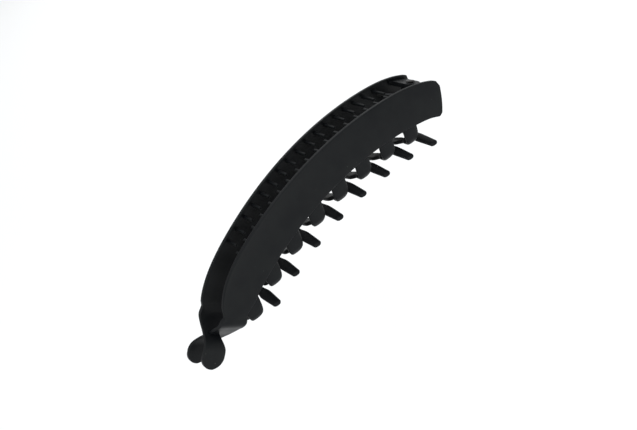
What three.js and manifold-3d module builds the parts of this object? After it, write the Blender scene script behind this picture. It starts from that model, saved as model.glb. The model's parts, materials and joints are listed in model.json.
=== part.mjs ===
// A banana clip for long hair: two curved arms hinged at one end and latched at the other.
// Each arm is a leaning band with a row of short ribs inside its upper edge and eight curved claws
// below its lower edge. The ribs and the claws of the two arms lie between each other when it is shut.
// Millimetres, +X from the latch to the hinge, +Y towards the left arm, +Z towards the convex side.
import * as THREE from "three";
import { mergeVertices } from "three/addons/utils/BufferGeometryUtils.js";
import Module from "manifold-3d";

const wasm = await Module();
wasm.setup();

// ---- driving dimensions ----

// the arch: the line of the bands' lower edges, seen from the side
const bandLength = 117.8; // along the arch
const latchSlope = 37.1; // degrees that the arch climbs where it leaves the latch
const latchCurvature = 0.03; // per mm, the tight bend at each end
const middleCurvature = 0.0077; // and the long one between them
const hingeCurvature = 0.029;
const latchBendEnd = 10.5; // where the tight bends turn into the long one
const hingeBendStart = 104.6;
const bendBlend = 9.5; // how softly they do

// the bands
const bandHeight = 15.4;
const wall = 1.6;
const crown = 0.5; // how far a band's outer face bulges between its edges
const topHalfLatch = 6.4; // from the middle plane to a band's outer face, along its upper edge
const topHalfHinge = 9.4;
const bottomHalfLatch = 8.1; // and along its lower edge
const bottomHalfHinge = 12.0;
const shoulderLength = 20; // the rounded shoulder at the latch end
const latchEnds = {
  // how far the upper edge has dropped and the lower edge risen where the band meets its tab
  left: { drop: 2.5, rise: 2.2, riseLength: 10 },
  right: { drop: 5.6, rise: 1.8, riseLength: 7 },
};
const hingeRise = 1.2; // how far it has risen at the hinge end
const hingeRiseLength = 14;
const cornerRadius = 2;
const endRake = 2; // the lower corner of the hinge end reaches this much further than the upper one

// the ribs inside the upper edge
const ribCount = 17;
const ribPitch = 5;
const ribWidth = 1.3;
const ribThickness = 1.3;
const ribLevel = 12.7; // above the lower edge
const ribTipGap = 1; // from a rib's end to the middle plane
const firstRib = 101.4; // the left arm's rib nearest the hinge
const ribStagger = 2; // the right arm's ribs stand this much nearer the latch

// the claws: all are drawn out of the mould in one direction, so they are parallel
const clawCount = 8;
const clawPitch = 13.09;
const clawLean = 15.3; // degrees from straight down, towards the latch
const firstClaw = -79.1; // the right arm's claw nearest the latch, from the arch's flat point
const clawCrowding = { left: 0.4, right: 0.2 }; // brings the two nearest the latch closer to the rest
const clawStagger = 7.7; // the left arm's claws stand this much nearer the hinge
const flatPoint = 89; // station along the arch where it runs square to the claws
const clawRoot = 7.2; // width at the band
const clawRounding = 4.4; // how far above its lowest point a claw starts to narrow
const clawFinger = 4;
const clawTip = 2.7;
const clawThickness = 2;
const clawDrop = 7; // from the lower edge down to the middle of the bend, at the ends of the row
const clawSag = 1.2; // how much more it is in the middle of the row
const clawFallLatch = 4; // how much lower the tip lies, near the latch
const clawFallHinge = 3.2; // and near the hinge
const clawReach = { left: 14.6, right: 8 }; // past the middle plane, near the hinge

// the latch tabs, which cross over each other
const tabThickness = 1.7;
const tabs = {
  // heights of the tab's two edges where it leaves the band and at its neck, which runs from neckStart
  // to neckEnd; from flareStart on it widens into the round pad; all lengths are from the band's end
  left: {
    root: [2.2, 12.7],
    neck: [10.1, 12.5],
    neckStart: 2.5,
    neckEnd: 9,
    flareStart: 7.5,
    pad: 10.7,
    padRadius: 4.75,
    padOffset: 4.5, // from the middle plane
    length: 16.5,
    cross: [2.5, 14],
  },
  right: {
    root: [1.8, 9.8],
    neck: [2.5, 9],
    neckStart: 0,
    neckEnd: 4,
    flareStart: 9.5,
    pad: 11,
    padRadius: 4.45,
    padOffset: 5.6,
    length: 18.6,
    cross: [0.5, 15.5],
  },
};

// the hinge
const hingeStation = 112;
const pinRadius = 1;
const pinHeadRadius = 1.9;
const pinHeadThickness = 0.55;
const knuckleRadius = 3.8;
const knuckleThickness = 1.8;
const springWire = 0.8;
const springRadius = 2.1;
const springTurns = 2.5;
const springLeg = 11;

// fits
const gap = 0.3; // between pieces that stand beside each other
const pinClearance = 0.3;

// ---- materials ----

const plastic = () => new THREE.MeshStandardMaterial({ color: 0x1b1c1e, roughness: 0.62, metalness: 0 });
const steel = () => new THREE.MeshStandardMaterial({ color: 0x9a9c9e, roughness: 0.35, metalness: 1 });

// ---- helpers ----

const lerp = THREE.MathUtils.lerp;
const smooth = THREE.MathUtils.smoothstep;

// A geometry with shared vertices and its faces turned outwards.
function closed(geometry) {
  const bare = geometry.clone();
  bare.deleteAttribute("normal");
  bare.deleteAttribute("uv");
  const merged = mergeVertices(bare, 1e-4);
  const p = merged.attributes.position;
  const index = merged.index.array;
  const [a, b, c] = [new THREE.Vector3(), new THREE.Vector3(), new THREE.Vector3()];
  let volume = 0;
  for (let i = 0; i < index.length; i += 3) {
    a.fromBufferAttribute(p, index[i]);
    b.fromBufferAttribute(p, index[i + 1]);
    c.fromBufferAttribute(p, index[i + 2]);
    volume += a.dot(b.cross(c));
  }
  if (volume < 0) {
    for (let i = 0; i < index.length; i += 3) [index[i + 1], index[i + 2]] = [index[i + 2], index[i + 1]];
  }
  return merged;
}

function solid(geometry) {
  const g = closed(geometry);
  const vertProperties = new Float32Array(g.attributes.position.array);
  const triVerts = new Uint32Array(g.index.array);
  return new wasm.Manifold(new wasm.Mesh({ numProp: 3, vertProperties, triVerts }));
}

function geometryOf(manifold) {
  const mesh = manifold.getMesh();
  const geometry = new THREE.BufferGeometry();
  geometry.setAttribute("position", new THREE.BufferAttribute(mesh.vertProperties, 3));
  geometry.setIndex(new THREE.BufferAttribute(mesh.triVerts, 1));
  return geometry;
}

// A box of unit size, cut into steps, with each vertex moved by place(u, v, w): u and v run from 0 to 1
// and w from -0.5 to 0.5.
function shapedBox(steps, place) {
  const box = new THREE.BoxGeometry(1, 1, 1, ...steps);
  const p = box.attributes.position;
  for (let i = 0; i < p.count; i += 1) {
    const q = place(p.getX(i) + 0.5, p.getY(i) + 0.5, p.getZ(i));
    p.setXYZ(i, q.x, q.y, q.z);
  }
  return closed(box);
}

// A rod with a rounded section along a curve; half sizes across and through come from size(t).
function shapedRod(curve, across, size, steps, sides) {
  const rod = new THREE.CylinderGeometry(1, 1, 1, sides, steps);
  const p = rod.attributes.position;
  for (let i = 0; i < p.count; i += 1) {
    const t = p.getY(i) + 0.5;
    const [wide, thick] = size(t);
    const through = across.clone().cross(curve.getTangentAt(t));
    const q = curve
      .getPointAt(t)
      .addScaledVector(across, p.getX(i) * wide)
      .addScaledVector(through, p.getZ(i) * thick);
    p.setXYZ(i, q.x, q.y, q.z);
  }
  return closed(rod);
}

// ---- the arch ----

const archStep = 0.25;
const archStart = -30;

function curvature(s) {
  if (s < 0) return 0; // the latch tabs leave the arch straight
  const atLatch = 1 - smooth(s, latchBendEnd - bendBlend, latchBendEnd + bendBlend);
  const atHinge = smooth(s, hingeBendStart - bendBlend, hingeBendStart + bendBlend);
  const extraAtLatch = (latchCurvature - middleCurvature) * atLatch;
  const extraAtHinge = (hingeCurvature - middleCurvature) * atHinge;
  return middleCurvature + extraAtLatch + extraAtHinge;
}

const arch = [];
{
  let x = 0;
  let z = 0;
  let angle = THREE.MathUtils.degToRad(latchSlope);
  for (let s = archStart; s <= bandLength + 20; s += archStep) {
    arch.push({ s, x, z, angle });
    angle -= curvature(s + archStep / 2) * archStep;
    x += Math.cos(angle) * archStep;
    z += Math.sin(angle) * archStep;
  }
}

// The point n above the arch at station s and y from the middle plane.
function at(s, y, n) {
  const k = THREE.MathUtils.clamp((s - archStart) / archStep, 0, arch.length - 1.001);
  const a = arch[Math.floor(k)];
  const b = arch[Math.floor(k) + 1];
  const f = k - Math.floor(k);
  const angle = lerp(a.angle, b.angle, f);
  const x = lerp(a.x, b.x, f) - n * Math.sin(angle);
  const z = lerp(a.z, b.z, f) + n * Math.cos(angle);
  return new THREE.Vector3(x, y, z);
}

function slopeAt(s) {
  return arch[Math.round((s - archStart) / archStep)].angle;
}

// A group whose own axes are the arch's at station s: X along it, Y across, Z away from it.
function frameAt(s) {
  const frame = new THREE.Matrix4().makeRotationY(-slopeAt(s));
  return frame.setPosition(at(s, 0, 0));
}

// ---- the bands ----

function lowerEdge(s, latchEnd) {
  const atLatch = latchEnd.rise * (1 - smooth(s, 0, latchEnd.riseLength));
  const atHinge = hingeRise * smooth(s, bandLength - hingeRiseLength, bandLength);
  return atLatch + atHinge;
}

function roundedDrop(distance, radius, drop) {
  const share = THREE.MathUtils.clamp(1 - distance / radius, 0, 1);
  return drop * (1 - Math.sqrt(1 - share * share));
}

function upperEdge(s, latchEnd) {
  const atLatch = roundedDrop(s, shoulderLength, latchEnd.drop);
  const atHinge = roundedDrop(bandLength - s, cornerRadius, cornerRadius);
  return bandHeight - atLatch - atHinge;
}

// From the middle plane to the band's outer face at station s and height n.
function outerFace(s, n) {
  const along = s / bandLength;
  const top = lerp(topHalfLatch, topHalfHinge, along);
  const bottom = lerp(bottomHalfLatch, bottomHalfHinge, along);
  const h = THREE.MathUtils.clamp(n / bandHeight, 0, 1);
  return lerp(bottom, top, h) + crown * 4 * h * (1 - h);
}

function innerFace(s, n) {
  return outerFace(s, n) - wall;
}

function bandShell(side, latchEnd) {
  return shapedBox([60, 4, 1], (u, v, w) => {
    const s = u * bandLength;
    const n = lerp(lowerEdge(s, latchEnd), upperEdge(s, latchEnd), v);
    const raked = s + endRake * (0.5 - n / bandHeight) * smooth(s, bandLength - 8, bandLength);
    return at(raked, side * (outerFace(s, n) + (w - 0.5) * wall), n);
  });
}

function rib(side, s) {
  return shapedBox([1, 1, 1], (u, v, w) => {
    const root = innerFace(s, ribLevel) + wall / 2;
    const taper = lerp(0.75, 1, v);
    const y = lerp(ribTipGap, root, v);
    return at(s + (u - 0.5) * ribWidth * taper, side * y, ribLevel + w * ribThickness * taper);
  });
}

// One hinge ear: a plate square to the pin, from the band's inside to a round end about the pin.
function knuckle(side, level) {
  const reach = innerFace(hingeStation, level + knuckleThickness / 2) + wall / 2;
  const outline = new THREE.Shape();
  outline.moveTo(knuckleRadius, 0);
  outline.lineTo(knuckleRadius, side * reach);
  outline.lineTo(-knuckleRadius, side * reach);
  outline.lineTo(-knuckleRadius, 0);
  outline.absarc(0, 0, knuckleRadius, Math.PI, side > 0 ? 2 * Math.PI : 0, side < 0);
  const options = { depth: knuckleThickness, bevelEnabled: false, curveSegments: 16 };
  const plate = new THREE.ExtrudeGeometry(outline, options);
  return plate.translate(0, 0, level).applyMatrix4(frameAt(hingeStation));
}

function pinHole() {
  const radius = pinRadius + pinClearance;
  const hole = new THREE.CylinderGeometry(radius, radius, 2 * bandHeight, 20);
  return hole.rotateX(Math.PI / 2).translate(0, 0, bandHeight / 2).applyMatrix4(frameAt(hingeStation));
}

// The ears from the lowest up: left, right, spring, right, left.
const knuckleStep = knuckleThickness + gap;
const springHeight = springTurns * springWire * 1.05 + springWire;
const lowestEar = 2.6;
const ears = {
  left: [lowestEar, lowestEar + 2 * knuckleStep + springHeight + gap + knuckleStep],
  right: [lowestEar + knuckleStep, lowestEar + 2 * knuckleStep + springHeight + gap],
};
const springLevel = lowestEar + 2 * knuckleStep;

function band(side, name, firstRibStation) {
  let body = solid(bandShell(side, latchEnds[name]));
  for (let i = 0; i < ribCount; i += 1) body = body.add(solid(rib(side, firstRibStation - i * ribPitch)));
  for (const level of ears[name]) body = body.add(solid(knuckle(side, level)));
  return geometryOf(body.subtract(solid(pinHole())));
}

// ---- the claws ----

// The claws' own frame: X along the row, Z opposite to the way they hang, from the arch's flat point.
const clawFrame = new THREE.Matrix4()
  .makeRotationY(THREE.MathUtils.degToRad(clawLean))
  .setPosition(at(flatPoint, 0, 0));
const toClawFrame = clawFrame.clone().invert();

// The point of the bands' lower edge that lies x along the row of claws: its station and its height.
function edgeAbove(x, latchEnd) {
  let best = { s: 0, height: 0 };
  let least = Infinity;
  for (let s = 0; s <= bandLength; s += archStep) {
    const p = at(s, 0, lowerEdge(s, latchEnd)).applyMatrix4(toClawFrame);
    if (Math.abs(p.x - x) < least) {
      least = Math.abs(p.x - x);
      best = { s, height: p.z };
    }
  }
  return best;
}

function claw(side, name, x, place) {
  const latchEnd = latchEnds[name];
  const { s, height } = edgeAbove(x, latchEnd);
  const drop = clawDrop + clawSag * Math.sin(Math.PI * place);
  const fall = lerp(clawFallLatch, clawFallHinge, smooth(place, 0, 0.6));
  const spread = lerp(bottomHalfLatch, bottomHalfHinge, s / bandLength);
  const root = spread - clawThickness / 2;
  const reach = (clawReach[name] * spread) / bottomHalfHinge;
  const route = [
    [root, -gap],
    [root, -drop * 0.5],
    [root - 0.3, -drop * 0.75],
    [root - 1.9, -drop * 0.95],
    [root - 4.8, -drop],
    [0, -drop - fall * 0.5],
    [-reach, -drop - fall],
  ];
  const points = route.map(([y, z]) => new THREE.Vector3(x, side * y, height + z));
  const curve = new THREE.CatmullRomCurve3(points, false, "centripetal");
  const narrowing = height - drop + clawRounding;
  const size = (t) => {
    const below = THREE.MathUtils.clamp((narrowing - curve.getPointAt(t).z) / clawRounding, 0, 1);
    const bent = t < 0.5 ? Math.sqrt(1 - below * below) : 0;
    const wide = lerp(lerp(clawFinger, clawRoot, bent), clawTip, smooth(t, 0.4, 1));
    const end = t > 0.97 ? 0.7 : 1;
    return [(wide / 2) * end, (clawThickness / 2) * end * lerp(1, 0.85, t)];
  };
  const rod = shapedRod(curve, new THREE.Vector3(1, 0, 0), size, 20, 10);
  // the root follows the band's edge, which slopes across the claw
  const p = rod.attributes.position;
  for (let i = 0; i < p.count; i += 1) {
    const slope = edgeAbove(p.getX(i), latchEnd).height - height;
    const hold = smooth(p.getZ(i) - height, -drop * 0.6, 0);
    p.setZ(i, p.getZ(i) + Math.max(slope, -drop * 0.55) * hold);
  }
  return rod.applyMatrix4(clawFrame);
}

// ---- the latch tabs ----

// The tab's lower and upper edge and its distance from the middle plane, at a distance from the band.
function tabSection(tab, distance) {
  const neck = smooth(distance, tab.neckStart, tab.neckEnd);
  const flare = smooth(distance, tab.flareStart, tab.length - 1);
  const beyond = Math.max(distance - tab.length, 0);
  const round = Math.sqrt(Math.max(tab.padRadius ** 2 - beyond ** 2, 0.16));
  const rootFace = innerFace(0, (tab.root[0] + tab.root[1]) / 2) + wall / 2;
  return {
    low: lerp(lerp(tab.root[0], tab.neck[0], neck), tab.pad - round, flare),
    high: lerp(lerp(tab.root[1], tab.neck[1], neck), tab.pad + round, flare),
    y: lerp(rootFace, -tab.padOffset, smooth(distance, ...tab.cross)),
  };
}

function latchTab(side, tab) {
  const end = tab.length + tab.padRadius;
  return shapedBox([30, 2, 1], (u, v, w) => {
    const distance = lerp(gap, end, 1 - u ** 1.5);
    const { low, high, y } = tabSection(tab, distance);
    return at(-distance, side * (y + w * tabThickness), lerp(low, high, v));
  });
}

// ---- the hinge pin and its spring ----

function hingePin() {
  const low = lowestEar - gap;
  const high = ears.left[1] + knuckleThickness + gap;
  const profile = [
    [0, low - pinHeadThickness],
    [pinHeadRadius, low - pinHeadThickness],
    [pinHeadRadius, low],
    [pinRadius, low],
    [pinRadius, high],
    [pinHeadRadius, high],
    [pinHeadRadius, high + pinHeadThickness],
    [0, high + pinHeadThickness],
  ].map(([r, z]) => new THREE.Vector2(r, z));
  return new THREE.LatheGeometry(profile, 24).rotateX(Math.PI / 2).applyMatrix4(frameAt(hingeStation));
}

class Coil extends THREE.Curve {
  getPoint(t) {
    const angle = Math.PI * (2 * springTurns * t - 1);
    const level = springLevel + springWire / 2 + t * springTurns * springWire * 1.05;
    return new THREE.Vector3(springRadius * Math.cos(angle), springRadius * Math.sin(angle), level);
  }
}

function wireSection() {
  const section = new THREE.Shape();
  section.absarc(0, 0, springWire / 2, 0, 2 * Math.PI, false);
  return section;
}

function wireAlong(curve, steps) {
  const options = { extrudePath: curve, steps, curveSegments: 8, bevelEnabled: false };
  return new THREE.ExtrudeGeometry(wireSection(), options);
}

function legLine(side, level) {
  const near = new THREE.Vector3(-springRadius - springWire - gap, 0, level);
  const reach = innerFace(hingeStation - springLeg, level) - springWire;
  const far = new THREE.Vector3(-springLeg, side * reach, level);
  return new THREE.LineCurve3(near.setY(side * 0.6), far);
}

function springCoil() {
  return wireAlong(new Coil(), 48).applyMatrix4(frameAt(hingeStation));
}

function springArm(side, level) {
  return wireAlong(legLine(side, level), 1).applyMatrix4(frameAt(hingeStation));
}

// ---- assembly ----

const clip = new THREE.Group();

function add(name, geometry, material) {
  const mesh = new THREE.Mesh(geometry, material);
  mesh.name = name;
  clip.add(mesh);
}

const arms = [
  { name: "left", side: 1, rib: firstRib, claw: firstClaw + clawStagger },
  { name: "right", side: -1, rib: firstRib - ribStagger, claw: firstClaw },
];

for (const arm of arms) {
  add(`${arm.name}_band`, band(arm.side, arm.name, arm.rib), plastic());
  add(`${arm.name}_latch_tab`, latchTab(arm.side, tabs[arm.name]), plastic());
  for (let i = 0; i < clawCount; i += 1) {
    const crowding = clawCrowding[arm.name] * Math.max(2 - i, 0) ** 2;
    const x = arm.claw + i * clawPitch + crowding;
    const shape = claw(arm.side, arm.name, x, (i + 0.5) / clawCount);
    add(`${arm.name}_claw_${i + 1}`, shape, plastic());
  }
}
add("hinge_pin", hingePin(), steel());
add("spring_coil", springCoil(), steel());
add("left_spring_leg", springArm(1, springLevel + springHeight - springWire / 2), steel());
add("right_spring_leg", springArm(-1, springLevel + springWire / 2), steel());

// The origin is the middle of the base that the shut clip stands on.
const box = new THREE.Box3().setFromObject(clip);
const middle = box.getCenter(new THREE.Vector3());
clip.position.set(-middle.x, -middle.y, -box.min.z);

const part = new THREE.Group();
part.add(clip);
export default part;
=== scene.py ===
import json
import math

import bmesh
import bpy
from mathutils import Matrix, Quaternion, Vector


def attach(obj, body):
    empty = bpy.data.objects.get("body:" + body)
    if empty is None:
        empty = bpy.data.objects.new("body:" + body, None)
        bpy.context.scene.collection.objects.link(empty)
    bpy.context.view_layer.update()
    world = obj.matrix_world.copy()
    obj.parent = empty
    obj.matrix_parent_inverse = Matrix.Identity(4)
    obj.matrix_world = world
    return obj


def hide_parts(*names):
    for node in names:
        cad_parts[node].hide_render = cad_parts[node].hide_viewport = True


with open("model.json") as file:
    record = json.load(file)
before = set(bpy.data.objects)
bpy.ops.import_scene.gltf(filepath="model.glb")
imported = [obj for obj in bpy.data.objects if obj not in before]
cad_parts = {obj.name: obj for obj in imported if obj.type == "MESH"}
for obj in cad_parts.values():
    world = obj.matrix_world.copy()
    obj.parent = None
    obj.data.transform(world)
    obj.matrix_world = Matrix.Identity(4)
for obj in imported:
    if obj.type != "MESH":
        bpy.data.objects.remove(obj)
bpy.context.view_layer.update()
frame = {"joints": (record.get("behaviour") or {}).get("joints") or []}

mm = 0.001


def lerp(a, b, t):
    return a + (b - a) * t


def clamp(value, low=0.0, high=1.0):
    return max(low, min(high, value))


def smooth(value, low, high):
    t = clamp((value - low) / (high - low))
    return t * t * (3 - 2 * t)


def newGroup(name, inputs, outputs):
    group = bpy.data.node_groups.new(name, "ShaderNodeTree")
    for label, kind, value in inputs:
        socket = group.interface.new_socket(label, in_out="INPUT", socket_type=kind)
        if value is not None:
            socket.default_value = value
    for label, kind in outputs:
        group.interface.new_socket(label, in_out="OUTPUT", socket_type=kind)
    entry = group.nodes.new("NodeGroupInput")
    leave = group.nodes.new("NodeGroupOutput")
    return group, entry, leave


def addNode(tree, kind, **settings):
    node = tree.nodes.new(kind)
    for key, value in settings.items():
        if key in node.inputs:
            node.inputs[key].default_value = value
        else:
            setattr(node, key, value)
    return node


def addMath(tree, operation, first, second=None, third=None, clampIt=False):
    node = tree.nodes.new("ShaderNodeMath")
    node.operation = operation
    node.use_clamp = clampIt
    for slotIndex, source in enumerate((first, second, third)):
        if source is None:
            continue
        if isinstance(source, (int, float)):
            node.inputs[slotIndex].default_value = source
        else:
            tree.links.new(source, node.inputs[slotIndex])
    return node.outputs[0]


def addRange(tree, source, low, high, toLow=0.0, toHigh=1.0):
    node = addNode(tree, "ShaderNodeMapRange")
    node.inputs["From Min"].default_value = low
    node.inputs["From Max"].default_value = high
    node.inputs["To Min"].default_value = toLow
    node.inputs["To Max"].default_value = toHigh
    tree.links.new(source, node.inputs["Value"])
    return node.outputs["Result"]


# fine spark-eroded grain that a mould leaves: two sizes of noise in one height
def makeGrainGroup():
    group, entry, leave = newGroup(
        "mouldGrain",
        [("Vector", "NodeSocketVector", None), ("Grains per metre", "NodeSocketFloat", 3000.0)],
        [("Height", "NodeSocketFloat"), ("Mottle", "NodeSocketFloat")],
    )
    fine = addNode(group, "ShaderNodeTexNoise", Detail=3.0, Roughness=0.6)
    coarse = addNode(group, "ShaderNodeTexNoise", Detail=2.0, Roughness=0.5)
    group.links.new(entry.outputs["Vector"], fine.inputs["Vector"])
    group.links.new(entry.outputs["Vector"], coarse.inputs["Vector"])
    group.links.new(entry.outputs["Grains per metre"], fine.inputs["Scale"])
    fewer = addMath(group, "MULTIPLY", entry.outputs["Grains per metre"], 0.05)
    group.links.new(fewer, coarse.inputs["Scale"])
    height = addMath(group, "MULTIPLY_ADD", coarse.outputs["Fac"], 0.35, fine.outputs["Fac"])
    group.links.new(height, leave.inputs["Height"])
    group.links.new(coarse.outputs["Fac"], leave.inputs["Mottle"])
    return group


# rubbed corners with a painted rim highlight on them: where the surface is pointed, broken up by noise
def makeEdgeGroup():
    group, entry, leave = newGroup(
        "edgeWearAndHighlight",
        [
            ("Vector", "NodeSocketVector", None),
            ("Low", "NodeSocketFloat", 0.52),
            ("High", "NodeSocketFloat", 0.6),
        ],
        [("Mask", "NodeSocketFloat")],
    )
    geometry = addNode(group, "ShaderNodeNewGeometry")
    patches = addNode(group, "ShaderNodeTexNoise", Scale=420.0, Detail=4.0)
    group.links.new(entry.outputs["Vector"], patches.inputs["Vector"])
    ramp = addNode(group, "ShaderNodeMapRange")
    group.links.new(geometry.outputs["Pointiness"], ramp.inputs["Value"])
    group.links.new(entry.outputs["Low"], ramp.inputs["From Min"])
    group.links.new(entry.outputs["High"], ramp.inputs["From Max"])
    broken = addRange(group, patches.outputs["Fac"], 0.3, 0.6, 0.45, 1.0)
    mask = addMath(group, "MULTIPLY", ramp.outputs["Result"], broken, clampIt=True)
    group.links.new(mask, leave.inputs["Mask"])
    return group


# faint handling marks: long thin scratches and sparse dust specks
def makeHandlingGroup():
    group, entry, leave = newGroup(
        "handlingMarks",
        [("Vector", "NodeSocketVector", None), ("Stretch", "NodeSocketVector", (60.0, 900.0, 900.0))],
        [("Scratches", "NodeSocketFloat"), ("Dust", "NodeSocketFloat")],
    )
    mapping = addNode(group, "ShaderNodeMapping")
    group.links.new(entry.outputs["Vector"], mapping.inputs["Vector"])
    group.links.new(entry.outputs["Stretch"], mapping.inputs["Scale"])
    lines = addNode(group, "ShaderNodeTexNoise", Scale=1.0, Detail=2.0, Distortion=0.6)
    group.links.new(mapping.outputs["Vector"], lines.inputs["Vector"])
    scratches = addRange(group, lines.outputs["Fac"], 0.66, 0.72)
    specks = addNode(group, "ShaderNodeTexVoronoi", Scale=420.0)
    group.links.new(entry.outputs["Vector"], specks.inputs["Vector"])
    near = addRange(group, specks.outputs["Distance"], 0.05, 0.09, 1.0, 0.0)
    chosen = addNode(group, "ShaderNodeTexNoise", Scale=150.0, Detail=1.0)
    group.links.new(entry.outputs["Vector"], chosen.inputs["Vector"])
    few = addRange(group, chosen.outputs["Fac"], 0.56, 0.66)
    group.links.new(scratches, leave.inputs["Scratches"])
    group.links.new(addMath(group, "MULTIPLY", near, few), leave.inputs["Dust"])
    return group


mouldGrain = makeGrainGroup()
edgeWearAndHighlight = makeEdgeGroup()
handlingMarks = makeHandlingGroup()


def placeGroup(tree, group, coordinates, **values):
    node = tree.nodes.new("ShaderNodeGroup")
    node.node_tree = group
    tree.links.new(coordinates, node.inputs["Vector"])
    for key, value in values.items():
        node.inputs[key.replace("_", " ")].default_value = value
    return node


def mixColour(tree, factor, first, second):
    node = tree.nodes.new("ShaderNodeMix")
    node.data_type = "RGBA"
    tree.links.new(factor, node.inputs["Factor"])
    for socket, source in ((node.inputs[6], first), (node.inputs[7], second)):
        if isinstance(source, tuple):
            socket.default_value = source
        else:
            tree.links.new(source, socket)
    return node.outputs[2]


plasticLook = {
    "dark": (0.0042, 0.0049, 0.0058, 1.0),
    "light": (0.0062, 0.0071, 0.0077, 1.0),
    # edge: lighter colour on pointed edges, partly rubbed wear and partly a painted highlight of lit rims
    "edge": (0.013, 0.015, 0.015, 1.0),
    "dust": (0.13, 0.13, 0.12, 1.0),
    "roughness": (0.4, 0.52),
    "specular": 0.11,
    "grain": 0.055,
    "grainDistance": 0.00006,
    "grainsPerMetre": 3200.0,
}


def makePlastic(name, roughnessShift=0.0):
    look = plasticLook
    material = bpy.data.materials.new(name)
    material.use_nodes = True
    tree = material.node_tree
    shader = tree.nodes["Principled BSDF"]
    coordinates = addNode(tree, "ShaderNodeTexCoord").outputs["Object"]
    grain = placeGroup(tree, mouldGrain, coordinates, Grains_per_metre=look["grainsPerMetre"])
    edges = placeGroup(tree, edgeWearAndHighlight, coordinates)
    marks = placeGroup(tree, handlingMarks, coordinates)
    mottle = addRange(tree, grain.outputs["Mottle"], 0.35, 0.65)
    base = mixColour(tree, mottle, look["dark"], look["light"])
    # pointed edges get a lighter colour: rubbed wear plus a painted rim highlight
    edgeWornAndLit = mixColour(tree, addMath(tree, "MULTIPLY", edges.outputs["Mask"], 0.8), base, look["edge"])
    dusty = mixColour(tree, addMath(tree, "MULTIPLY", marks.outputs["Dust"], 0.35), edgeWornAndLit, look["dust"])
    tree.links.new(dusty, shader.inputs["Base Color"])
    low, high = look["roughness"]
    rough = addRange(tree, grain.outputs["Mottle"], 0.3, 0.7, low + roughnessShift, high + roughnessShift)
    rough = addMath(tree, "MULTIPLY_ADD", marks.outputs["Scratches"], -0.09, rough)
    rough = addMath(tree, "MULTIPLY_ADD", edges.outputs["Mask"], -0.07, rough, clampIt=True)
    tree.links.new(rough, shader.inputs["Roughness"])
    shader.inputs["Specular IOR Level"].default_value = look["specular"]
    bump = addNode(tree, "ShaderNodeBump", Strength=look["grain"], Distance=look["grainDistance"])
    height = addMath(tree, "MULTIPLY_ADD", marks.outputs["Scratches"], -0.4, grain.outputs["Height"])
    tree.links.new(height, bump.inputs["Height"])
    tree.links.new(bump.outputs["Normal"], shader.inputs["Normal"])
    return material


# blackened steel
steelLook = {
    "colour": (0.035, 0.036, 0.038, 1.0),
    "tarnish": (0.02, 0.019, 0.018, 1.0),
    # lighter grey for pointed edges: worn metal plus a painted rim highlight
    "wornAndHighlitEdge": (0.12, 0.12, 0.122, 1.0),
    "roughness": (0.34, 0.5),
}


def makeSteel(name, stretch):
    look = steelLook
    material = bpy.data.materials.new(name)
    material.use_nodes = True
    tree = material.node_tree
    shader = tree.nodes["Principled BSDF"]
    coordinates = addNode(tree, "ShaderNodeTexCoord").outputs["Object"]
    grain = placeGroup(tree, mouldGrain, coordinates, Grains_per_metre=5200.0)
    marks = placeGroup(tree, handlingMarks, coordinates, Stretch=stretch)
    edges = placeGroup(tree, edgeWearAndHighlight, coordinates)
    patchy = addRange(tree, grain.outputs["Mottle"], 0.42, 0.62)
    colour = mixColour(tree, patchy, look["colour"], look["tarnish"])
    # pointed edges get a lighter grey through the same edge mask: worn metal plus a painted rim highlight
    colour = mixColour(tree, edges.outputs["Mask"], colour, steelLook["wornAndHighlitEdge"])
    tree.links.new(colour, shader.inputs["Base Color"])
    low, high = look["roughness"]
    rough = addRange(tree, grain.outputs["Mottle"], 0.3, 0.7, low, high)
    rough = addMath(tree, "MULTIPLY_ADD", marks.outputs["Scratches"], 0.15, rough, clampIt=True)
    tree.links.new(rough, shader.inputs["Roughness"])
    shader.inputs["Metallic"].default_value = 1.0
    bump = addNode(tree, "ShaderNodeBump", Strength=0.08, Distance=0.00003)
    tree.links.new(grain.outputs["Height"], bump.inputs["Height"])
    tree.links.new(bump.outputs["Normal"], shader.inputs["Normal"])
    return material


bandPlastic = makePlastic("bandPlastic")
clawPlastic = makePlastic("clawPlastic", 0.02)
latchPlastic = makePlastic("latchPlastic", -0.03)
pinSteel = makeSteel("pinSteel", (700.0, 700.0, 90.0))
wireSteel = makeSteel("wireSteel", (120.0, 800.0, 800.0))
print("materials made")


arch = {
    "length": 117.8,
    "latchSlope": 37.1,  # degrees
    "latchCurvature": 0.03,  # per mm
    "middleCurvature": 0.0077,
    "hingeCurvature": 0.029,
    "latchBendEnd": 10.5,
    "hingeBendStart": 104.6,
    "bendBlend": 9.5,
    "hingeStation": 109.0 + 3.0,
    "start": -30.0,
    "step": 0.25,
}


def archCurvature(s):
    if s < 0:
        return 0.0
    blend = arch["bendBlend"]
    atLatch = 1 - smooth(s, arch["latchBendEnd"] - blend, arch["latchBendEnd"] + blend)
    atHinge = smooth(s, arch["hingeBendStart"] - blend, arch["hingeBendStart"] + blend)
    middle = arch["middleCurvature"]
    towardsLatch = (arch["latchCurvature"] - middle) * atLatch
    towardsHinge = (arch["hingeCurvature"] - middle) * atHinge
    return middle + towardsLatch + towardsHinge


def walkArch():
    points = []
    x = z = 0.0
    angle = math.radians(arch["latchSlope"])
    step = arch["step"]
    for i in range(int((arch["length"] + 20 - arch["start"]) / step) + 1):
        s = arch["start"] + i * step
        points.append((x, z, angle))
        angle -= archCurvature(s + step / 2) * step
        x += math.cos(angle) * step
        z += math.sin(angle) * step
    return points


archPoints = walkArch()
archShift = Vector((0.0, 0.0, 0.0))


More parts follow.
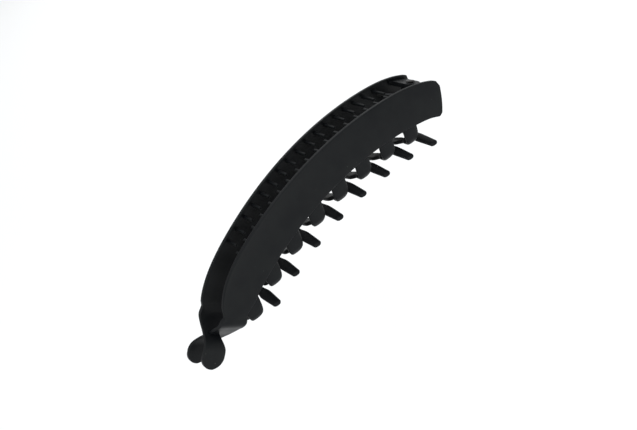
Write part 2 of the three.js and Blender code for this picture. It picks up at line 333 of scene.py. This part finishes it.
def archFrame(s):
    k = clamp((s - arch["start"]) / arch["step"], 0, len(archPoints) - 1.001)
    a, b = archPoints[int(k)], archPoints[int(k) + 1]
    f = k - int(k)
    return lerp(a[0], b[0], f), lerp(a[1], b[1], f), lerp(a[2], b[2], f)


# the point n mm above the lower line of the bands, y mm from the middle plane, at station s
def onArch(s, y, n):
    x, z, angle = archFrame(s)
    return Vector((x - n * math.sin(angle), y, z + n * math.cos(angle))) * mm + archShift


hingePoint = Vector(frame["joints"][0]["pos_m"])
archShift = hingePoint - onArch(arch["hingeStation"], 0, 0)


def hingeMatrix():
    angle = archFrame(arch["hingeStation"])[2]
    matrix = Matrix.Rotation(-angle, 4, "Y")
    matrix.translation = hingePoint
    return matrix


def deselectAll():
    if bpy.context.object and bpy.context.object.mode != "OBJECT":
        bpy.ops.object.mode_set(mode="OBJECT")
    bpy.ops.object.select_all(action="DESELECT")


def makeActive(piece):
    deselectAll()
    piece.select_set(True)
    bpy.context.view_layer.objects.active = piece


# a unit block with its edges cut along x, y and z
def cutBlock(name, cuts):
    deselectAll()
    bpy.ops.mesh.primitive_cube_add(size=1, location=(0, 0, 0))
    block = bpy.context.object
    block.name = name
    block.data.name = name
    bpy.ops.object.mode_set(mode="EDIT")
    bpy.context.tool_settings.mesh_select_mode = (False, True, False)
    for axis, count in enumerate(cuts):
        if count < 1:
            continue
        bpy.ops.mesh.select_all(action="DESELECT")
        mesh = bmesh.from_edit_mesh(block.data)
        for edge in mesh.edges:
            run = edge.verts[1].co - edge.verts[0].co
            if abs(run[axis]) > 0.9 * run.length:
                edge.select_set(True)
        bmesh.update_edit_mesh(block.data)
        bpy.ops.mesh.subdivide(number_cuts=count)
    bpy.ops.object.mode_set(mode="OBJECT")
    return block


def shapeBy(piece, place):
    for vertex in piece.data.vertices:
        vertex.co = place(vertex.co.copy())
    piece.data.update()


def applyModifier(piece, kind, **settings):
    makeActive(piece)
    modifier = piece.modifiers.new(kind.lower(), kind)
    for key, value in settings.items():
        setattr(modifier, key, value)
    bpy.ops.object.modifier_apply(modifier=modifier.name)


def facesOut(piece, merge=0.000002):
    makeActive(piece)
    bpy.ops.object.mode_set(mode="EDIT")
    bpy.ops.mesh.select_all(action="SELECT")
    bpy.ops.mesh.remove_doubles(threshold=merge)
    bpy.ops.mesh.normals_make_consistent(inside=False)
    bpy.ops.object.mode_set(mode="OBJECT")


def softenEdges(piece, width, segments=3, angle=40):
    applyModifier(
        piece,
        "BEVEL",
        width=width * mm,
        segments=segments,
        limit_method="ANGLE",
        angle_limit=math.radians(angle),
        use_clamp_overlap=True,
    )


def smoothShade(piece, angle=50):
    makeActive(piece)
    bpy.ops.object.shade_smooth_by_angle(angle=math.radians(angle))


def joinPieces(name, pieces):
    deselectAll()
    for piece in pieces:
        piece.select_set(True)
    bpy.context.view_layer.objects.active = pieces[0]
    bpy.ops.object.join()
    joined = bpy.context.object
    joined.name = name
    joined.data.name = name
    return joined


def copyPiece(piece, name):
    twin = piece.copy()
    twin.data = piece.data.copy()
    twin.name = name
    twin.data.name = name
    bpy.context.scene.collection.objects.link(twin)
    return twin


def finishPiece(piece, material, body, slotName, *nodes):
    piece.data.materials.clear()
    piece.data.materials.append(material)
    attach(piece, body)
    if nodes:
        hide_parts(*nodes)


bandShape = {
    "height": 15.4,
    "wall": 1.6,
    "crown": 0.75,
    "topHalf": (6.4, 9.4),  # at the latch, at the hinge
    "bottomHalf": (8.1, 12.0),
    "shoulderLength": 20.0,
    "hingeRise": 1.0,
    "hingeRiseLength": 14.0,
    "hingeCorner": (1.8, 1.8),
    "cornerRadius": 2.0,
    "endRake": 2.0,
    "cuts": (150, 2, 14),
    "edgeRound": 0.42,
    "latchEnd": {
        "left": {"drop": 2.5, "rise": 2.2, "riseLength": 10.0},
        "right": {"drop": 5.6, "rise": 1.8, "riseLength": 7.0},
    },
}


def roundedDrop(distance, radius, drop):
    share = clamp(1 - distance / radius)
    return drop * (1 - math.sqrt(1 - share * share))


def lowerEdge(s, end):
    atLatch = end["rise"] * (1 - smooth(s, 0, end["riseLength"]))
    start = arch["length"] - bandShape["hingeRiseLength"]
    atHinge = bandShape["hingeRise"] * smooth(s, start, arch["length"])
    return atLatch + atHinge + roundedDrop(arch["length"] - s, *bandShape["hingeCorner"])


def upperEdge(s, end):
    radius = bandShape["cornerRadius"]
    atLatch = roundedDrop(s, bandShape["shoulderLength"], end["drop"])
    return bandShape["height"] - atLatch - roundedDrop(arch["length"] - s, radius, radius)


def outerFace(s, n):
    along = s / arch["length"]
    top = lerp(*bandShape["topHalf"], along)
    bottom = lerp(*bandShape["bottomHalf"], along)
    h = clamp(n / bandShape["height"])
    return lerp(bottom, top, h) + bandShape["crown"] * 4 * h * (1 - h)


def innerFace(s, n):
    return outerFace(s, n) - bandShape["wall"]


def makeBand(armName, side):
    end = bandShape["latchEnd"][armName]
    piece = cutBlock(armName + "Band", bandShape["cuts"])

    def place(co):
        s = (co.x + 0.5) * arch["length"]
        n = lerp(lowerEdge(s, end), upperEdge(s, end), co.z + 0.5)
        rake = bandShape["endRake"] * (0.5 - n / bandShape["height"])
        raked = s + rake * smooth(s, arch["length"] - 8, arch["length"])
        return onArch(raked, side * (outerFace(s, n) + (co.y - 0.5) * bandShape["wall"]), n)

    shapeBy(piece, place)
    facesOut(piece)
    softenEdges(piece, bandShape["edgeRound"])
    smoothShade(piece)
    return piece


ribShape = {
    "count": 17,
    "pitch": 5.0,
    "width": 1.3,
    "thickness": 1.3,
    "level": 12.7,
    "tipGap": 1.0,
    "first": 101.4,
    "stagger": 2.0,
}


def makeRibs(armName, side, firstStation):
    pattern = cutBlock(armName + "Ribs", (2, 6, 2))
    ribs = []
    for i in range(ribShape["count"]):
        rib = copyPiece(pattern, "%sRib%d" % (armName, i))
        station = firstStation - i * ribShape["pitch"]
        rootY = innerFace(station, ribShape["level"]) + bandShape["wall"] / 2

        def place(co):
            v = co.y + 0.5
            taper = lerp(0.78, 1, v) + 0.35 * smooth(v, 0.86, 1)
            rounding = 1 - 0.16 * (co.x * 2) ** 2 * (co.z * 2) ** 2
            s = station + co.x * ribShape["width"] * taper * rounding
            n = ribShape["level"] + co.z * ribShape["thickness"] * taper * rounding
            return onArch(s, side * lerp(ribShape["tipGap"], rootY, v), n)

        shapeBy(rib, place)
        facesOut(rib)
        softenEdges(rib, 0.22, 2)
        ribs.append(rib)
    bpy.data.objects.remove(pattern)
    joined = joinPieces(armName + "Ribs", ribs)
    smoothShade(joined)
    return joined


clawShape = {
    "count": 8,
    "pitch": 13.09,
    "lean": 15.3,  # degrees
    "flatPoint": 89.0,
    "first": -79.1,
    "crowding": {"left": 0.4, "right": 0.2},
    "stagger": 7.7,
    "root": 7.2,
    "rounding": 5.2,
    "bend": 2.6,
    "finger": 4.5,
    "tip": 3.5,
    "thickness": 2.0,
    "drop": 7.0,
    "sag": 1.2,
    "fall": (4.0, 3.2),
    "reach": {"left": 14.6, "right": 8.0},
    "intoBand": 1.2,
    "behindFace": 0.3,
    "segments": 28,
    "rings": 72,
}


def clawMatrix():
    matrix = Matrix.Rotation(math.radians(clawShape["lean"]), 4, "Y")
    matrix.translation = onArch(clawShape["flatPoint"], 0, 0)
    return matrix


toClawRow = clawMatrix().inverted()


# heights of the band's lower edge along the row of claws
def edgeTable(end):
    table = []
    s = 0.0
    while s <= arch["length"]:
        point = toClawRow @ onArch(s, 0, lowerEdge(s, end))
        table.append((point.x / mm, point.z / mm, s))
        s += arch["step"]
    return table


def edgeAbove(table, x):
    for a, b in zip(table, table[1:]):
        if a[0] <= x <= b[0]:
            f = (x - a[0]) / (b[0] - a[0])
            return lerp(a[1], b[1], f), lerp(a[2], b[2], f)
    nearest = table[0] if x < table[0][0] else table[-1]
    return nearest[1], nearest[2]


# a smooth line through points, by arc length
class Line:
    def __init__(self, points):
        self.points = []
        padded = [points[0] * 2 - points[1]] + points + [points[-1] * 2 - points[-2]]
        for a, b, c, d in zip(padded, padded[1:], padded[2:], padded[3:]):
            for i in range(16):
                t = i / 16
                self.points.append(
                    0.5
                    * (
                        b * 2
                        + (c - a) * t
                        + (a * 2 - b * 5 + c * 4 - d) * t * t
                        + (b * 3 - a - c * 3 + d) * t * t * t
                    )
                )
        self.points.append(points[-1])
        self.lengths = [0.0]
        for a, b in zip(self.points, self.points[1:]):
            self.lengths.append(self.lengths[-1] + (b - a).length)
        self.total = self.lengths[-1]

    def at(self, t):
        want = clamp(t) * self.total
        for i in range(1, len(self.lengths)):
            if self.lengths[i] >= want:
                share = (want - self.lengths[i - 1]) / max(self.lengths[i] - self.lengths[i - 1], 1e-12)
                a, b = self.points[i - 1], self.points[i]
                return a.lerp(b, share), (b - a).normalized()
        return self.points[-1], (self.points[-1] - self.points[-2]).normalized()


# a rod with round ends, made from a sphere whose rings are spread along a line
def makeRod(name, line, across, halfSize, segments, rings, squareness=2.0, endRound=1.0):
    deselectAll()
    bpy.ops.mesh.primitive_uv_sphere_add(segments=segments, ring_count=rings, radius=1, location=(0, 0, 0))
    rod = bpy.context.object
    rod.name = name
    rod.data.name = name
    cache = {}

    def place(co):
        turn = math.acos(clamp(co.z, -1, 1)) / math.pi
        key = round(turn, 5)
        if key not in cache:
            capShare = endRound * mm / line.total
            if turn < 0.12:
                angle = turn / 0.12 * math.pi / 2
                t = capShare * (1 - math.cos(angle))
                full = math.sin(angle)
            elif turn > 0.88:
                angle = (1 - turn) / 0.12 * math.pi / 2
                t = 1 - capShare * (1 - math.cos(angle))
                full = math.sin(angle)
            else:
                t = lerp(capShare, 1 - capShare, (turn - 0.12) / 0.76)
                full = 1.0
            centre, run = line.at(t)
            wide, thick = halfSize(t)
            cache[key] = (centre, run.cross(across).normalized(), wide * full, thick * full)
        centre, through, wide, thick = cache[key]
        if wide < 1e-9:
            return centre
        angle = math.atan2(co.y, co.x)
        c, s = math.cos(angle), math.sin(angle)
        power = 2.0 / squareness
        px = math.copysign(abs(c) ** power, c)
        pz = math.copysign(abs(s) ** power, s)
        return centre + across * (px * wide) + through * (pz * thick)

    shapeBy(rod, place)
    facesOut(rod)
    return rod


def makeClaw(armName, side, index, table):
    shape = clawShape
    first = shape["first"] + (shape["stagger"] if armName == "left" else 0)
    crowding = shape["crowding"][armName] * max(2 - index, 0) ** 2
    x = first + index * shape["pitch"] + crowding
    place = (index + 0.5) / shape["count"]
    height, station = edgeAbove(table, x)
    drop = shape["drop"] + shape["sag"] * math.sin(math.pi * place)
    fall = lerp(*shape["fall"], smooth(place, 0, 0.6))
    spread = lerp(*bandShape["bottomHalf"], station / arch["length"])
    rootY = spread - shape["thickness"] / 2 - shape["behindFace"] * 0.5
    reach = shape["reach"][armName] * spread / bandShape["bottomHalf"][1]
    route = [
        (rootY - 0.1, shape["intoBand"]),
        (rootY, -drop * 0.1),
        (rootY, -drop * 0.5),
        (rootY - 0.3, -drop * 0.75),
        (rootY - 1.9, -drop * 0.95),
        (rootY - 4.8, -drop),
        (0.0, -drop - fall * 0.5),
        (-reach, -drop - fall),
    ]
    line = Line([Vector((x, side * y, height + z)) * mm for y, z in route])
    narrowing = height - drop + shape["rounding"]

    def halfSize(t):
        below = clamp((narrowing - line.at(t)[0].z / mm) / shape["rounding"])
        if t < 0.5:
            wide = lerp(shape["bend"], shape["root"], math.sqrt(1 - below * below))
        else:
            wide = lerp(shape["bend"], shape["finger"], smooth(t, 0.5, 0.68))
            wide = lerp(wide, shape["tip"], smooth(t, 0.68, 1))
        return wide / 2 * mm, shape["thickness"] / 2 * lerp(1.05, 0.95, t) * mm

    name = "%sClaw%d" % (armName, index + 1)
    claw = makeRod(name, line, Vector((1, 0, 0)), halfSize, shape["segments"], shape["rings"], 2.8, 1.3)

    # the root follows the band's edge, which slopes across the claw
    def lean(co):
        slope = (edgeAbove(table, co.x / mm)[0] - height) * mm
        hold = smooth(co.z / mm - height, -drop * 0.6, 0)
        co.z += max(slope, -drop * 0.55 * mm) * hold
        return co

    shapeBy(claw, lean)
    claw.data.transform(clawMatrix())
    smoothShade(claw, 70)
    return claw


tabShape = {
    "thickness": 1.7,
    "intoBand": 5.0,
    "cuts": (130, 2, 18),
    "straightShare": 0.62,  # share of the cuts before the pad's round end
    "roundEnd": 87.0,  # degrees of the pad's round end
    "fade": (-3.0, 2.5),
    "follow": (-6.0, 0.0),
    "inset": 0.35,
    "insideWall": 0.94,
    "rimThinning": 0.25,
    "left": {
        "root": (2.2, 12.9),
        "neck": (7.4, 13.6),
        "neckRange": (3.5, 9.5),
        "flareStart": 7.5,
        "pad": 10.7,
        "padRadius": 4.75,
        "padOffset": 4.5,
        "length": 16.5,
        "cross": (2.5, 14.0),
    },
    "right": {
        "root": (0.9, 12.2),
        "neck": (1.5, 11.8),
        "neckRange": (0.0, 4.0),
        "flareStart": 9.5,
        "pad": 11.0,
        "padRadius": 4.45,
        "padOffset": 5.6,
        "length": 18.6,
        "cross": (0.5, 15.5),
    },
}


def makeTab(armName, side):
    shape = tabShape[armName]
    straight = tabShape["straightShare"]
    radius = shape["padRadius"]
    length = shape["length"]
    end = bandShape["latchEnd"][armName]
    piece = cutBlock(armName + "LatchTab", tabShape["cuts"])
    bandFace = innerFace(0, sum(shape["root"]) / 2) + bandShape["wall"] / 2

    def place(co):
        u = 0.5 - co.x
        if u < straight:
            distance = lerp(-tabShape["intoBand"], length, u / straight)
        else:
            turn = (u - straight) / (1 - straight) * math.radians(tabShape["roundEnd"])
            distance = length + radius * math.sin(turn)
        neck = smooth(distance, *shape["neckRange"])
        flare = smooth(distance, shape["flareStart"], length - 1)
        beyond = max(distance - length, 0.0)
        rounded = math.sqrt(max(radius ** 2 - beyond ** 2, 0.0))
        low = lerp(lerp(shape["root"][0], shape["neck"][0], neck), shape["pad"] - rounded, flare)
        high = lerp(lerp(shape["root"][1], shape["neck"][1], neck), shape["pad"] + rounded, flare)
        # inside the band the tab fades into its wall
        inside = smooth(-distance, *tabShape["fade"])
        station = max(-distance, 0)
        low = lerp(low, max(low, lowerEdge(station, end) + tabShape["inset"]), inside)
        high = lerp(high, min(high, upperEdge(station, end) - tabShape["inset"]), inside)
        v = co.z * 2
        level = lerp(low, high, co.z + 0.5)
        flat = lerp(bandFace, -shape["padOffset"], smooth(distance, *shape["cross"]))
        follow = innerFace(station, level) + bandShape["wall"] / 2
        y = lerp(flat, follow, smooth(-distance, *tabShape["follow"]))
        thick = lerp(tabShape["thickness"], bandShape["wall"] * tabShape["insideWall"], inside)
        edgeThin = 1 - tabShape["rimThinning"] * abs(v) ** 4 * smooth(distance, 6, length)
        return onArch(-distance, side * (y + co.y * thick * edgeThin), level)

    shapeBy(piece, place)
    facesOut(piece)
    softenEdges(piece, 0.4)
    smoothShade(piece)
    return piece


hingeShape = {
    "pinRadius": 1.0,
    "headRadius": 1.9,
    "headThickness": 0.55,
    "earRadius": 3.8,
    "earThickness": 1.8,
    "lowest": 2.6,
    "gap": 0.3,
    "wire": 0.8,
    "coilRadius": 2.1,
    "turns": 2.5,
    "leg": 11.0,
}
earStep = hingeShape["earThickness"] + hingeShape["gap"]
coilHeight = hingeShape["turns"] * hingeShape["wire"] * 1.05 + hingeShape["wire"]
coilLevel = hingeShape["lowest"] + 2 * earStep
upperEars = coilLevel + coilHeight + hingeShape["gap"]
earLevels = {
    "left": (hingeShape["lowest"], upperEars + earStep),
    "right": (hingeShape["lowest"] + earStep, upperEars),
}


def makeEars(armName, side):
    ears = []
    for i, level in enumerate(earLevels[armName]):
        piece = cutBlock("%sEar%d" % (armName, i), (40, 12, 1))
        middle = level + hingeShape["earThickness"] / 2
        reach = innerFace(arch["hingeStation"], middle) + bandShape["wall"] / 2
        radius = hingeShape["earRadius"]

        def place(co):
            u = co.x + 0.5
            if u < 0.5:
                y, half = lerp(reach, 0, u * 2), radius * (1 + 0.25 * smooth(1 - u * 2, 0.75, 1))
            else:
                angle = (u - 0.5) * 2 * math.radians(87)
                y, half = -radius * math.sin(angle), radius * math.cos(angle)
            return Vector((co.y * 2 * half, side * y, middle + co.z * hingeShape["earThickness"])) * mm

        shapeBy(piece, place)
        piece.data.transform(hingeMatrix())
        facesOut(piece)
        softenEdges(piece, 0.3)
        ears.append(piece)
    joined = joinPieces(armName + "HingeEars", ears)
    smoothShade(joined)
    return joined


def makePin():
    shape = hingeShape
    low = shape["lowest"] - shape["gap"]
    high = earLevels["left"][1] + shape["earThickness"] + shape["gap"]
    deselectAll()
    bpy.ops.mesh.primitive_cylinder_add(
        vertices=48,
        radius=shape["pinRadius"] * mm,
        depth=(high - low) * mm,
        location=(0, 0, (high + low) / 2 * mm),
    )
    pin = bpy.context.object
    pin.name = "hingePin"
    bpy.ops.object.transform_apply(location=True, rotation=True, scale=True)
    bpy.ops.object.mode_set(mode="EDIT")
    bpy.context.tool_settings.mesh_select_mode = (False, False, True)
    for direction, level in ((-1, low), (1, high)):
        bpy.ops.mesh.select_all(action="DESELECT")
        mesh = bmesh.from_edit_mesh(pin.data)
        mesh.faces.ensure_lookup_table()
        for face in mesh.faces:
            if face.normal.z * direction > 0.9:
                face.select_set(True)
        bmesh.update_edit_mesh(pin.data)
        scale = shape["headRadius"] / shape["pinRadius"]
        # the head: out to its rim, up, and in to a domed top
        bpy.ops.mesh.inset(thickness=0.0)
        bpy.ops.transform.resize(value=(scale, scale, 1))
        for rise, share in ((0.5, 1.0), (0.3, 0.88), (0.14, 0.66), (0.06, 0.36)):
            bpy.ops.mesh.extrude_region_move(
                TRANSFORM_OT_translate={"value": (0, 0, direction * rise * shape["headThickness"] * mm)}
            )
            bpy.ops.transform.resize(value=(share, share, 1))
    bpy.ops.object.mode_set(mode="OBJECT")
    pin.data.transform(hingeMatrix())
    facesOut(pin)
    softenEdges(pin, 0.08, 2, 50)
    smoothShade(pin)
    return pin


def makeSpring():
    shape = hingeShape
    pieces = {}
    rise = shape["turns"] * shape["wire"] * 1.05
    half = shape["wire"] / 2 * mm
    coilPoints = []
    for i in range(61):
        t = i / 60
        angle = math.pi * (2 * shape["turns"] * t - 1)
        coilPoints.append(
            Vector((
                shape["coilRadius"] * math.cos(angle),
                shape["coilRadius"] * math.sin(angle),
                coilLevel + shape["wire"] / 2 + t * rise,
            ))
            * mm
        )
    upwards = Vector((0, 0, 1))

    def roundWire(t):
        return half, half

    coil = makeRod("springCoil", Line(coilPoints), upwards, roundWire, 14, 150, 2.0, 0.4)
    pieces["springCoil"] = coil
    lowLeg = coilLevel + shape["wire"] / 2
    highLeg = coilLevel + coilHeight - shape["wire"] / 2
    for armName, side, level in (("right", -1, lowLeg), ("left", 1, highLeg)):
        far = innerFace(arch["hingeStation"] - shape["leg"], level) - shape["wire"]
        near = -shape["coilRadius"] - shape["wire"] - shape["gap"]
        points = [
            Vector((near, side * 0.6, level)) * mm,
            Vector((lerp(near, -shape["leg"], 0.5), side * lerp(0.6, far, 0.5), level)) * mm,
            Vector((-shape["leg"], side * far, level)) * mm,
        ]
        leg = makeRod(armName + "SpringLeg", Line(points), upwards, roundWire, 14, 40, 2.0, 0.4)
        pieces[armName + "SpringLeg"] = leg
    for piece in pieces.values():
        piece.data.transform(hingeMatrix())
        smoothShade(piece, 70)
    return pieces


for armName, side in (("left", 1), ("right", -1)):
    body = armName + "_arm"
    firstRib = ribShape["first"] - (ribShape["stagger"] if armName == "right" else 0)
    finishPiece(makeBand(armName, side), bandPlastic, body, "black_plastic", armName + "_band")
    finishPiece(makeRibs(armName, side, firstRib), clawPlastic, body, "black_plastic", armName + "_band")
    finishPiece(makeEars(armName, side), bandPlastic, body, "black_plastic", armName + "_band")
    finishPiece(makeTab(armName, side), latchPlastic, body, "black_plastic", armName + "_latch_tab")
    table = edgeTable(bandShape["latchEnd"][armName])
    for index in range(clawShape["count"]):
        node = "%s_claw_%d" % (armName, index + 1)
        finishPiece(makeClaw(armName, side, index, table), clawPlastic, body, "black_plastic", node)
    print(armName, "arm built")

finishPiece(makePin(), pinSteel, "left_arm", "spring_steel", "hinge_pin")
springPieces = makeSpring()
finishPiece(springPieces["springCoil"], wireSteel, "left_arm", "spring_steel", "spring_coil")
finishPiece(springPieces["leftSpringLeg"], wireSteel, "left_arm", "spring_steel", "left_spring_leg")
finishPiece(springPieces["rightSpringLeg"], wireSteel, "right_arm", "spring_steel", "right_spring_leg")
print("hinge built")


stageShape = {"size": 6.0, "colour": (0.95, 0.95, 0.945, 1.0), "below": 0.11}


def makeFloor():
    deselectAll()
    bpy.ops.mesh.primitive_plane_add(size=stageShape["size"], location=(0, 0, -stageShape["below"]))
    floor = bpy.context.object
    floor.name = "floor"
    material = bpy.data.materials.new("paleFloor")
    material.use_nodes = True
    shader = material.node_tree.nodes["Principled BSDF"]
    shader.inputs["Base Color"].default_value = stageShape["colour"]
    shader.inputs["Roughness"].default_value = 0.9
    shader.inputs["Specular IOR Level"].default_value = 0.1
    floor.data.materials.append(material)


def makeLight(name, place, target, size, watts, colour):
    data = bpy.data.lights.new(name, "AREA")
    data.shape = "RECTANGLE"
    data.size, data.size_y = size
    data.energy = watts
    data.color = colour
    light = bpy.data.objects.new(name, data)
    bpy.context.scene.collection.objects.link(light)
    light.location = place
    light.rotation_euler = (Vector(target) - Vector(place)).to_track_quat("-Z", "Y").to_euler()


lights = {
    "keyLight": ((-0.15, -0.85, 0.12), (1.0, 0.4), 3.0, (1.0, 1.0, 0.97)),
    "topLight": ((-0.1, -0.3, 1.2), (1.4, 1.4), 8.0, (0.95, 0.975, 1.0)),
    "backLight": ((0.5, 0.8, 0.5), (0.8, 0.8), 2.0, (1.0, 1.0, 1.0)),
}
makeFloor()
for name, (place, size, watts, colour) in lights.items():
    makeLight(name, place, (0, 0, 0.015), size, watts, colour)

world = bpy.data.worlds.new("studio")
world.use_nodes = True
world.node_tree.nodes["Background"].inputs["Color"].default_value = (0.97, 0.985, 1.0, 1.0)
world.node_tree.nodes["Background"].inputs["Strength"].default_value = 0.7
bpy.context.scene.world = world
bpy.context.scene.view_settings.view_transform = "Standard"

viewpoint = {
    "fromHinge": (-0.137945, -0.237107, 0.198036),
    "direction": (0.2496277, 0.7470913, -0.6160687),
    "roll": -37.71,  # degrees
    "lens": 45.229,
}


def makeCamera():
    data = bpy.data.cameras.new("camera")
    data.lens = viewpoint["lens"]
    data.sensor_width = 36.0
    data.clip_start = 0.01
    camera = bpy.data.objects.new("camera", data)
    bpy.context.scene.collection.objects.link(camera)
    aim = Vector(viewpoint["direction"]).to_track_quat("-Z", "Y")
    turned = aim @ Quaternion((0, 0, 1), math.radians(viewpoint["roll"]))
    place = hingePoint + Vector(viewpoint["fromHinge"])
    camera.matrix_world = Matrix.Translation(place) @ turned.to_matrix().to_4x4()
    bpy.context.scene.camera = camera


makeCamera()
print("stage set")
